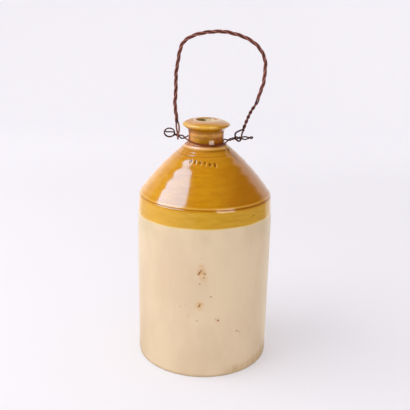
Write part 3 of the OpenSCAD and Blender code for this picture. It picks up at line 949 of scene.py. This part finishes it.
def spots(paint, rows, softness):
    """The strongest of a list of round spots at each point, with ragged edges."""
    raggedness = Vector((0.0012, 0.0012, 0.0016))
    ragged = paint.node("ShaderNodeTexNoise")
    paint.link(paint.place, ragged.inputs["Vector"])
    ragged.inputs["Scale"].default_value = 900
    ragged.inputs["Detail"].default_value = 1
    shifted = paint.node("ShaderNodeVectorMath", operation="MULTIPLY_ADD")
    paint.link(ragged.outputs["Color"], shifted.inputs[0])
    shifted.inputs[1].default_value = raggedness
    paint.link(paint.place, shifted.inputs[2])
    found = []
    for angle, z, r, strength in rows:
        gap = paint.node("ShaderNodeVectorMath", operation="DISTANCE")
        paint.link(shifted.outputs[0], gap.inputs[0])
        gap.inputs[1].default_value = on_wall(angle, z) + raggedness / 2
        found.append(paint.band(gap.outputs["Value"], r * MM * softness, r * MM, strength, 0.0))
    strongest = found[0]
    for spot in found[1:]:
        strongest = paint.math("MAXIMUM", strongest, spot)
    return strongest


def cream_glaze_material():
    """Warm cream with faint turned lines, stains along its foot and iron spots in their halos."""
    paint = Painter("cream_glaze")
    lines = paint.noise((14, 14, 900), 2, 0.6, 3)
    clouds = paint.band(paint.noise((22, 22, 9), 3, 0.6), 0.35, 0.68)
    pale_clouds = paint.band(paint.noise((60, 60, 45), 4, 0.7, 5), 0.52, 0.75, 0.0, 0.28)
    under_dip = paint.times(paint.rise(160, 190),
                            paint.band(paint.noise((30, 30, 20), 2, 0.5, 8), 0.42, 0.62), 0.35)
    stains = paint.times(spots(paint, base_stains, 0.1),
                         paint.band(paint.noise((90, 90, 120), 3, 0.65, 11), 0.25, 0.6, 0.5, 1.0))
    wavy_z = paint.plus(paint.z, paint.times(paint.noise((70, 70, 0)), 0.0016))
    halos = paint.times(spots(paint, iron_halos, 0.1),
                        paint.band(paint.noise((420, 420, 300), 3, 0.75, 13), 0.30, 0.62))
    specks = paint.band(paint.noise((300, 300, 300), 1, 0.4, 21), 0.735, 0.78, 0.0, 0.25)
    dark = spots(paint, iron_spots, 0.45)
    colour = paint.layered(
        paint.mix(clouds, "E9D2AC", "E1C8A3"),
        (paint.band(lines, 0.5, 0.8, 0.0, 0.10), "CDAF85"),
        (pale_clouds, "EBD8B8"),
        (under_dip, "CDBE8E"),
        (stains, "BE9650"),
        (paint.times(paint.band(wavy_z, 0.0052, 0.0042), 0.15), "A6824F"),
        (halos, "DDA866"),
        (specks, "A87848"),
        (dark, "925C1C"),
    )
    height = paint.plus(paint.times(lines, 0.35), paint.noise((180, 180, 180), seed=2))
    normal = paint.bumped(height, 0.16, 0.0006)
    normal = paint.bumped(paint.math("SUBTRACT", 1.0, dark), 0.5, 0.0005, normal)
    rough = paint.band(paint.noise((90, 90, 90), 3, 0.6, 17), 0.3, 0.7, 0.36, 0.44)
    return paint.finish(colour, paint.plus(rough, paint.times(dark, 0.3)), normal, IOR=1.5)


def lit_and_shaded_neck_colour(paint, blotches):
    """Painted light and shade on the neck: orange where its left side is lit, browner on its shaded right;
    darkest low down.
    """
    right_share = paint.across(2, 16)
    upper_right = paint.times(paint.near_height(neck_z + 14, 6), paint.across(3, 9))
    low_share = paint.times(paint.rise(neck_z + 13, neck_z + 9), paint.band(blotches, 0.35, 0.6, 0.6, 1.0),
                            paint.across(-10, -6, 0.1, 1.0))
    orange = paint.times(paint.near_height(neck_z + 14.5, 4.5), paint.across(16, 10, 0.0, 0.6))
    return paint.layered(
        paint.mix(paint.across(-6, -18), "B9820A", "DE9C48"),
        (paint.times(right_share, 0.5), "C07C22"),
        (upper_right, "E2A660"),
        (low_share, paint.mix(right_share, "A06C10", "94480A")),
        (paint.times(low_share, paint.near_side(-1, 8)), "8E5600"),
        (orange, "F4AC5C"),
    )


def neck_tones(paint):
    """Layers on the neck: painted shade under the lip, down its two sides and in its foot under the wire,
    and on the lip painted light at the left and shade at the right.
    """
    blotches = paint.noise((55, 55, 40), 3, 0.6, 14)
    on_neck = paint.times(paint.rise(neck_z, neck_z + 3), paint.rise(lip_z - 2, lip_z - 5))
    ragged_z = paint.plus(paint.z, paint.times(blotches, 0.006))
    # Painted shade in a band under the lip
    shade_under_lip = paint.times(paint.band(ragged_z, (lip_z - 7.5) * MM, (lip_z - 5.0) * MM),
                            paint.rise(lip_z - 2.2, lip_z - 4.2), 0.8)
    # Painted shade in thin dark lines down the neck's left and right sides
    left_side_shade = paint.times(on_neck, paint.near_side(-20.3, 1.5))
    right_side_shade = paint.times(on_neck, paint.near_side(20.3, 1.6))
    streaks = paint.times(paint.band(paint.noise((70, 70, 240), 3, 0.6, 19), 0.48, 0.66), on_neck, 0.5)
    # Painted shade at the neck's foot under the wire, stronger at the right
    foot = paint.times(paint.near_height(neck_z + 2, 4), paint.across(-6, 8, 0.15, 1.0),
                       paint.band(blotches, 0.3, 0.55, 0.5, 1.0), 0.9)
    # On the lip's roll, painted light at the left and painted shade at the right
    lip_light_and_shade = paint.mix(paint.across(8, 18), "EDBE50", "BC8626")
    dome_tone = paint.mix(paint.across(-10, 20), "C49056", "BA925C")
    return (
        (paint.times(on_neck, 0.85), lit_and_shaded_neck_colour(paint, blotches)),
        (shade_under_lip, "A06400"),
        (paint.times(paint.plus(left_side_shade, right_side_shade), 0.85), "7A360A"),
        (streaks, "8E5C06"),
        (foot, "5A2A08"),
        (paint.times(paint.near_height(lip_z + 0.3, 3.4), 0.8), lip_light_and_shade),
        (paint.times(paint.rise(lip_z + 2.0, lip_z + 4.2), 0.8), dome_tone),
    )


def shoulder_tones(paint, mottle, fine):
    """Layers on the shoulder and the band below its edge, with painted light at the left and painted shade
    at the right.
    """
    clouds = paint.band(paint.noise((16, 16, 14), 3, 0.5, 4), 0.4, 0.66)
    grain = paint.noise((620, 620, 620), 2, 0.6, 9)
    band_tone = paint.layered(
        paint.mix(mottle, "CC9A20", "D6A62A"),
        (paint.band(fine, 0.55, 0.8, 0.0, 0.2), "B07E12"),
    )
    return (
        (paint.times(clouds, 0.3), "DDA01C"),
        (paint.band(fine, 0.52, 0.78, 0.0, 0.4), "AE7004"),
        (paint.band(grain, 0.56, 0.8, 0.0, 0.25), "E2A930"),
        # Painted shade, darker towards the right
        (paint.across(0, 50, 0.0, 0.75), "A86605"),
        (paint.times(paint.rise(wall_h - 1.5, wall_h - 3.5), 0.9), band_tone),
        # Painted light, lighter towards the left
        (paint.across(-10, -65, 0.0, 0.36), "F0B43C"),
        (paint.times(paint.near_height(wall_h + 1.4, 1.3), 0.65), "E5B24A"),
        (paint.times(paint.attribute("thin_edge"), 0.9), "F2D88C"),
    )


def ledge_tones(paint):
    """Layers at the shoulder's top: pale on the ledge with a painted highlight along its edge, painted
    shade below it, and a dark streak at the right.
    """
    near_neck = paint.times(paint.rise(ledge_z - 22, ledge_z - 3), paint.across(0, 20, 0.5, 0.2))
    on_ledge = paint.times(paint.near_height(ledge_z + 1.2, 2.4), paint.across(-4, 12, 0.85, 0.15))
    # Painted highlight along the ledge's edge, strongest at the left
    ledge_highlight = paint.times(paint.near_height(ledge_z, 1.7), paint.across(-4, 12, 0.8, 0.35))
    # Painted shade below the ledge, deepest at the right
    shade_below_ledge = paint.times(paint.near_height(ledge_z - 2.6, 2.0), paint.across(-12, 10, 0.1, 0.8))
    from_front = paint.math("ARCTAN2", paint.x, paint.times(paint.y, -1.0))
    right_streak = paint.times(paint.near(from_front, math.radians(64), math.radians(8)),
                               paint.near_height(ledge_z - 9, 13), 0.75)
    return ((near_neck, "CB8B2C"), (on_ledge, "CE8460"), (ledge_highlight, "FAD08A"),
            (shade_below_ledge, "8A5A06"), (right_streak, "6E3A10"))


def mark_tones(paint):
    """Layers in the turned lines, in the impressed marks with a painted highlight beside them, in a
    scratch and in specks.
    """
    scratch = paint.times(paint.near_height(205.1, 0.7), paint.near_side(57.7, 4.2),
                          paint.band(paint.y, 0.0, -0.01), 0.85)
    specks = paint.band(paint.noise((420, 420, 420), 1, 0.4, 31), 0.74, 0.79, 0.0, 0.5)
    return (
        (paint.band(paint.attribute("pooled"), 0.1, 1.0, 0.0, 0.8), "8A5206"),
        # Painted highlight beside the marks
        (paint.band(paint.attribute("beside_mark"), 0.1, 0.6, 0.0, 0.7), "F2BC58"),
        (paint.band(paint.attribute("marked"), 0.05, 0.5, 0.0, 0.9), "8A540A"),
        (scratch, "5A3A0A"),
        (specks, "7C4A08"),
    )


def ochre_glaze_material():
    """Glossy mottled ochre, duller at the left of the neck and of the ledge."""
    paint = Painter("ochre_glaze")
    mottle = paint.band(paint.noise((45, 45, 260), 4, 0.62, 1), 0.36, 0.64)
    fine = paint.noise((30, 30, 1100), 3, 0.6, 6)
    colour = paint.layered(
        paint.mix(mottle, "C07F06", "CC8E0A"), *shoulder_tones(paint, mottle, fine),
        *ledge_tones(paint), *neck_tones(paint), *mark_tones(paint))
    height = paint.plus(paint.times(fine, 0.25), paint.noise((150, 150, 150), seed=2))
    rough = paint.band(paint.noise((110, 110, 110), 3, 0.6, 17), 0.3, 0.7, 0.09, 0.14)
    dull_side = paint.times(paint.rise(neck_z - 2, neck_z), paint.across(-14, -18, 0.0, 0.35))
    dull_top = paint.times(paint.near_height(ledge_z, 4), paint.across(4, -6, 0.0, 0.2))
    rough = paint.plus(rough, paint.math("MAXIMUM", dull_side, dull_top))
    return paint.finish(colour, rough, paint.bumped(height, 0.05, 0.0006), IOR=1.55)


def clay_material():
    """Bare clay with dark grains, a worn base, and a mouth with painted shade at the left and painted
    light at the right.
    """
    paint = Painter("bare_stoneware")
    clouds = paint.band(paint.noise((60, 60, 60), 4, 0.65), 0.35, 0.65)
    dark_grains = paint.band(paint.noise((500, 500, 500), 3, 0.7, 3), 0.6, 0.72, 0.0, 0.4)
    wear = paint.times(paint.rise(4, 0.5),
                       paint.band(paint.noise((90, 90, 90), 3, 0.6, 9), 0.35, 0.65), 0.3)
    # Painted shade on the mouth's inner wall at the left, painted light at the right
    mouth_light_and_shade = paint.mix(paint.across(-4, 1), "8C7426", "FFF2C8")
    colour = paint.layered(
        paint.mix(clouds, "DCC6A2", "CDB48A"),
        (dark_grains, "A07C50"),
        (paint.rise(lip_z - 10, lip_z - 4), mouth_light_and_shade),
        (wear, "8D6A43"),
    )
    grain = paint.noise((900, 900, 900), 3, 0.7, 5)
    normal = paint.bumped(grain, 0.5, 0.0004)
    return paint.finish(colour, paint.band(grain, 0.3, 0.7, 0.62, 0.85), normal, IOR=1.45)


def rust_material(name, dark, middle, light, place_tone):
    """Rusted iron in three tones, a fourth one where place_tone says, and painted shade between the turns.
    """
    paint = Painter(name)
    coarse = paint.noise((260, 260, 260), 4, 0.65)
    fine = paint.noise((1500, 1500, 1500), 3, 0.7, 4)
    dark_patches = paint.band(paint.noise((90, 90, 90), 3, 0.6, 8), 0.55, 0.7, 0.0, 0.6)
    colour = paint.layered(
        paint.mix(paint.band(coarse, 0.34, 0.62), dark, middle),
        (paint.band(fine, 0.5, 0.72, 0.0, 0.75), light),
        (dark_patches, dark),
        place_tone(paint),
        # Painted shade between the turns
        (paint.times(paint.attribute("crease"), 0.8), "24120E"),
    )
    normal = paint.bumped(paint.plus(fine, coarse), 0.6, 0.00025)
    return paint.finish(colour, paint.band(coarse, 0.3, 0.7, 0.5, 0.75), normal, IOR=1.5,
                        Specular_IOR_Level=0.12)


def redder_on_neck(paint):
    """The share and the tone of the red on the wire close round the neck."""
    from_axis = paint.node("ShaderNodeVectorMath", operation="LENGTH")
    paint.link(paint.scaled((1, 1, 0)), from_axis.inputs[0])
    close = paint.band(from_axis.outputs["Value"], (ring_r + 3) * MM, (ring_r + 1) * MM)
    return paint.times(close, 0.75), "8A3A12"


def darker_right_loop(paint):
    """The share and the tone of the dark on the bail's right loop."""
    low = paint.rise(swing_z + 17, swing_z + 11)
    return paint.times(low, paint.across(20, 30), 0.85), "4A2A20"


def painted(piece, material):
    piece.data.materials.clear()
    piece.data.materials.append(material)


def dressed(piece, material, body, slot, *nodes):
    """Paints a piece, and says which body moves it and which nodes it replaces; slot is not used."""
    painted(piece, material)
    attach(piece, body)
    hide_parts(*nodes)


def window_share(paint, ahead):
    """1 for the part of the stage behind the jug that shines in the glaze, between two slanting edges."""
    to_right = paint.math("ARCTAN2", paint.math("SUBTRACT", paint.x, 0.07), ahead)
    to_left = paint.math("ARCTAN2", paint.math("SUBTRACT", -0.07, paint.x), ahead)
    return paint.times(paint.band(to_right, 1.0, 0.84), paint.band(to_left, 0.82, 0.60),
                       paint.band(ahead, 0.0, 0.05))


def stage_material():
    """A pale floor and backdrop that keep the jug's shadow, and glow for the camera and in the glaze."""
    pale = "F4F3F6"
    paint = Painter("pale_stage", "ShaderNodeBsdfDiffuse")
    paint.put(paint.shader.inputs["Color"], pale)
    far = paint.band(paint.y, 0.4, 1.6)
    for_camera = paint.plus(paint.band(far, 0.0, 1.0, 0.935, 1.20),
                            paint.band(paint.x, 0.1, 0.9, 0.0, 0.08))
    behind = window_share(paint, paint.plus(paint.y, 0.03))
    bright = paint.band(paint.x, -2.2, 1.2, 1.5, 1.25)
    floor = paint.plus(paint.band(paint.y, -0.25, -1.3, 0.28, 0.09),
                       paint.band(paint.x, -0.14, -0.34, 0.0, 0.5))
    path = paint.node("ShaderNodeLightPath")
    camera_ray, glossy_ray = path.outputs["Is Camera Ray"], path.outputs["Is Glossy Ray"]
    for_gloss = paint.mix(behind, floor, bright)
    glow = paint.node("ShaderNodeEmission")
    paint.put(glow.inputs["Color"], pale)
    paint.link(paint.mix(camera_ray, for_gloss, for_camera), glow.inputs["Strength"])
    glow_share = paint.math("MAXIMUM", paint.times(camera_ray, 0.32), paint.times(glossy_ray, 0.92))
    mixed = paint.node("ShaderNodeMixShader")
    paint.link(glow_share, mixed.inputs["Fac"])
    paint.link(paint.shader.outputs[0], mixed.inputs[1])
    paint.link(glow.outputs[0], mixed.inputs[2])
    paint.link(mixed.outputs[0], paint.surface)
    return paint.material


def stage():
    """A pale floor that curves up into a backdrop behind the jug."""
    half_w, front, turn_at, bend_r, top, bend_steps = 5.0, -4.0, 1.6, 1.2, 5.0, 16
    profile = [(front, 0.0), (turn_at, 0.0)]
    for k in range(1, bend_steps + 1):
        angle = math.pi / 2 * k / bend_steps
        profile.append((turn_at + bend_r * math.sin(angle), bend_r * (1 - math.cos(angle))))
    profile.append((turn_at + bend_r, top))
    points = [(side * half_w, y, z) for y, z in profile for side in (-1, 1)]
    faces = [(2 * k, 2 * k + 1, 2 * k + 3, 2 * k + 2) for k in range(len(profile) - 1)]
    floor = made_piece("floor_and_backdrop", np.array(points), faces)
    painted(floor, stage_material())


def softbox(name, place, aim, size, power, colour, shape="RECTANGLE"):
    """An area light at a place, turned towards aim."""
    light = bpy.data.lights.new(name, "AREA")
    light.shape = shape
    light.size, light.size_y = size
    light.energy = power
    light.color = colour
    lamp = bpy.data.objects.new(name, light)
    lamp.location = place
    lamp.rotation_euler = (Vector(aim) - Vector(place)).to_track_quat("-Z", "Y").to_euler()
    bpy.context.scene.collection.objects.link(lamp)
    return lamp


def lights():
    """A large softbox at the left, its glint in the glaze, and a small window before the jug."""
    key = softbox("key_softbox", (-1.3, -0.3, 1.41), (0, 0, 0.24), (1.8, 1.2), 17, (1.0, 0.98, 0.98))
    key.visible_glossy = False
    glint = softbox("key_glint", (-1.19, -0.42, 1.275), (0, -0.47, 0.215), (1.42, 1.42), 58,
                    (0.32, 0.62, 0.95), "DISK")
    glint.visible_diffuse = False
    window = softbox("front_window", (0.72, -1.02, 0.64), (0, 0, 0.28), (0.72, 0.92), 14,
                     (1.0, 0.93, 0.88))
    window.visible_diffuse = False


def pale_room():
    """A pale room all round, which is much darker in the glaze."""
    strength, glossy_strength = 0.90, 0.04
    world = bpy.data.worlds.new("studio")
    world.use_nodes = True
    tree = world.node_tree
    sky = tree.nodes["Background"]
    sky.inputs["Color"].default_value = rgb("F3EFF4")
    path = tree.nodes.new("ShaderNodeLightPath")
    level = tree.nodes.new("ShaderNodeMapRange")
    level.inputs["To Min"].default_value = strength
    level.inputs["To Max"].default_value = glossy_strength
    tree.links.new(path.outputs["Is Glossy Ray"], level.inputs["Value"])
    tree.links.new(level.outputs["Result"], sky.inputs["Strength"])
    bpy.context.scene.world = world


def camera():
    """The camera at the photograph's angle."""
    focal_px, frame_px, sensor = 622.0, 410.0, 36.0
    distance, height = 0.7575, 0.4365
    pitch, yaw, roll = math.radians(17.48), math.radians(0.018), math.radians(1.2)
    ahead = Vector((math.sin(yaw) * math.cos(pitch), math.cos(yaw) * math.cos(pitch), -math.sin(pitch)))
    level = Vector((math.cos(yaw), -math.sin(yaw), 0))
    upward = level.cross(ahead)
    right = level * math.cos(roll) + upward * math.sin(roll)
    up = -level * math.sin(roll) + upward * math.cos(roll)
    data = bpy.data.cameras.new("camera")
    data.sensor_width = sensor
    data.lens = focal_px * sensor / frame_px
    made = bpy.data.objects.new("camera", data)
    bpy.context.scene.collection.objects.link(made)
    turn = Matrix((right, up, -ahead)).transposed().to_4x4()
    made.matrix_world = Matrix.Translation((0, -distance, height)) @ turn
    bpy.context.scene.camera = made


camera()
lights()
pale_room()
stage()
painted(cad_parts["stoneware_body"], clay_material())

dressed(cream_coat(), cream_glaze_material(), "jug", "cream_glaze", "cream_glaze")
dressed(ochre_coat(), ochre_glaze_material(), "jug", "ochre_glaze", "ochre_glaze")
dressed(neck_wire(), rust_material("neck_wire", "3A1C10", "5E3422", "8A5A40", redder_on_neck),
        "collar", "neck_wire", "neck_wire")
dressed(bail_wire(), rust_material("bail_wire", "703A2C", "A06454", "CC9C8A", darker_right_loop),
        "bail", "bail_wire", "bail_wire")

bpy.context.scene.view_settings.view_transform = "Standard"
